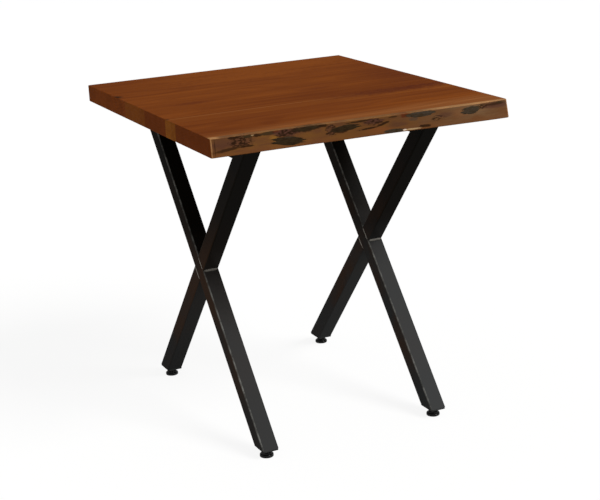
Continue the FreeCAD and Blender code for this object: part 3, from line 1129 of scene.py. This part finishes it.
@dataclass
class LevellingFoot:
    """A screw foot: cap, nut, threaded stem and moulded pad."""

    side: Side
    end: End
    x: float
    y: float
    # radius and level of each ring of the stem's flange and stud
    stud: tuple[Station, ...] = (
        (0.0062, 0.0020), (0.0065, 0.0023), (0.0065, 0.0037), (0.0062, 0.0040), (0.0036, 0.0040),
        (0.0036, 0.0340), (0.0030, 0.0345),
    )
    # the hexagon collar's width across flats and its two levels
    collar: Triple = (0.0158, 0.0083, 0.0145)
    eased: float = 0.0005  # how wide the collar's edges are eased
    thread: Triple = (0.0034, 0.00398, 0.00125)  # the thread's root, crest and pitch
    thread_low: float = 0.0146  # where the thread starts
    turns: int = 15
    # radius and level of each ring of the pad, from under it into its hollow
    moulding: tuple[Station, ...] = (
        (0.0118, 0.0), (0.0124, 0.0002), (0.0127, 0.0007), (0.0127, 0.0034), (0.01255, 0.0042),
        (0.01205, 0.0049), (0.0113, 0.0053), (0.0103, 0.0055), (0.0098, 0.0058),
        (0.0095, 0.0064), (0.0093, 0.0074), (0.0090, 0.0079), (0.0086, 0.0080),
        (0.0044, 0.0080), (0.00405, 0.0078), (0.00405, 0.0043), (0.00655, 0.0043),
        (0.00655, 0.0020),
    )

    @property
    def name(self) -> str:
        """The foot's name, as its nodes begin."""
        return f"{self.end.value}_{self.side.value}"

    @property
    def stand(self) -> Matrix:
        """Where the foot stands on the floor."""
        return Matrix.Translation((self.x, self.y, 0.0))

    def stem(self) -> None:
        """Build the stem with its flange, hexagon collar and thread."""
        work = bmesh.new()
        turned_solid(work, self.stud, self.stand, segments=32)
        hexagon_bar(work, *self.collar, self.eased, self.stand)
        thread_ridge(work, *self.thread, self.thread_low, self.turns, self.stand)
        name, node = f"{self.name}_threaded_stem", f"{self.name}_foot_stem"
        add_piece(work, name, BLACK_OXIDE, f"{self.name}_stem", node)

    def pad(self) -> None:
        """Build the moulded pad round the stem's flange."""
        work = bmesh.new()
        turned_solid(work, self.moulding, self.stand, segments=48)
        name, node = f"{self.name}_moulded_pad", f"{self.name}_foot_pad"
        add_piece(work, name, PAD_PLASTIC, f"{self.name}_pad", node)

    def dress(self, nodes: Nodes) -> None:
        """Finish the foot's nodes and add its detailed pieces.

        Args:
            nodes: The CAD nodes by name.
        """
        clothe(nodes[f"{self.name}_foot_cap"], CAP_PLASTIC)
        clothe(nodes[f"{self.name}_foot_nut"], ZINC_PLATE)
        self.stem()
        self.pad()
        LOG.info("%s foot dressed", self.name)


@dataclass
class Studio:
    """A plain pale floor under soft light, on white."""

    floor_radius: float = 30.0
    floor_sides: int = 64  # the points round it
    ambient: float = 0.4  # the level of the light from all round
    key_azimuth: float = 35.0  # how far right of the front the large soft lamp stands, in degrees
    key_elevation: float = 43.0  # how high it stands, in degrees
    key_width: float = 26.0  # how wide it looks from the table, in degrees
    key_level: float = 2.76  # the light that it throws straight on, in watts per square metre
    key_distance: float = 3.0  # how far away it is drawn, which changes nothing in its light

    def build(self) -> None:
        """Make the floor, the surroundings and the lamp."""
        for step in (self.floor, self.surroundings, self.lamp):
            step()
            LOG.info("studio: %s", step.__name__)

    def floor(self) -> None:
        """Lay the floor."""
        work = bmesh.new()
        bmesh.ops.create_circle(
            work, cap_ends=True, segments=self.floor_sides, radius=self.floor_radius
        )
        mesh = bpy.data.meshes.new("studio_floor")
        work.to_mesh(mesh)
        work.free()
        plane = bpy.data.objects.new("studio_floor", mesh)
        bpy.context.scene.collection.objects.link(plane)
        clothe(plane, FloorFinish("Studio floor"))

    def surroundings(self) -> None:
        """Light the table softly from all round, and show plain white there."""
        world = bpy.data.worlds.new("Studio surroundings")
        bpy.context.scene.world = world
        world.use_nodes = True
        graph = NodeGraph(world.node_tree)
        feeds = {"Color": WHITE, "Strength": self.ambient}
        soft = graph.node("ShaderNodeBackground", feeds).outputs[0]
        white = graph.node("ShaderNodeBackground", {"Color": WHITE}).outputs[0]
        both = graph.node("ShaderNodeMixShader", {0: graph.seen(), 1: soft, 2: white}).outputs[0]
        graph.node("ShaderNodeOutputWorld", {"Surface": both})

    def lamp(self) -> None:
        """Hang the large soft lamp."""
        data = bpy.data.lights.new("Soft lamp", "SUN")
        data.angle = math.radians(self.key_width)
        data.energy = self.key_level
        lamp = bpy.data.objects.new("Soft lamp", data)
        azimuth, elevation = math.radians(self.key_azimuth), math.radians(self.key_elevation)
        level = math.cos(elevation)
        out = Vector((math.sin(azimuth) * level, -math.cos(azimuth) * level, math.sin(elevation)))
        lamp.location = out * self.key_distance
        lamp.rotation_euler = (-out).to_track_quat("-Z", "Y").to_euler()
        bpy.context.scene.collection.objects.link(lamp)


@dataclass
class PhotoCamera:
    """The camera at the photograph's viewing angle."""

    place: Triple = (-1.10188, -2.31117, 1.07642)
    aim: Triple = (0.01636, 0.01270, 0.19424)  # a point on its axis
    roll: float = -2.464  # its turn about that axis, in degrees
    sensor: float = 36.0  # the sensor's width, in millimetres
    lens: float = 83.216  # the focal length, in millimetres
    shift: float = 0.0833  # the vertical shift, as a share of the sensor's width
    clip: float = 100.0  # how far it sees

    def set_up(self) -> None:
        """Create the camera and make it the scene's own."""
        data = bpy.data.cameras.new("Photo camera")
        data.lens = self.lens
        data.sensor_width = self.sensor
        data.shift_y = self.shift
        data.clip_end = self.clip
        camera = bpy.data.objects.new("Photo camera", data)
        look = (Vector(self.aim) - Vector(self.place)).to_track_quat("-Z", "Y").to_matrix()
        turn = Matrix.Rotation(math.radians(self.roll), 4, "Z")
        camera.matrix_world = Matrix.Translation(self.place) @ look.to_4x4() @ turn
        bpy.context.scene.collection.objects.link(camera)
        bpy.context.scene.camera = camera
        LOG.info("camera set")


def main() -> None:
    """Load the frame, dress every sub-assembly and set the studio."""
    logging.basicConfig(level=logging.INFO, format="%(name)s: %(message)s")
    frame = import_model()
    nodes = frame["nodes"]
    TableTop(nodes).dress()
    for side, x in FRAME_X.items():
        XFrame(side, x).dress(nodes)
        for end, y in FOOT_Y.items():
            LevellingFoot(side, end, x, y).dress(nodes)
    Studio().build()
    PhotoCamera().set_up()
    bpy.context.scene.view_settings.view_transform = "Standard"
    bpy.context.view_layer.update()


if __name__ == "__main__":
    main()
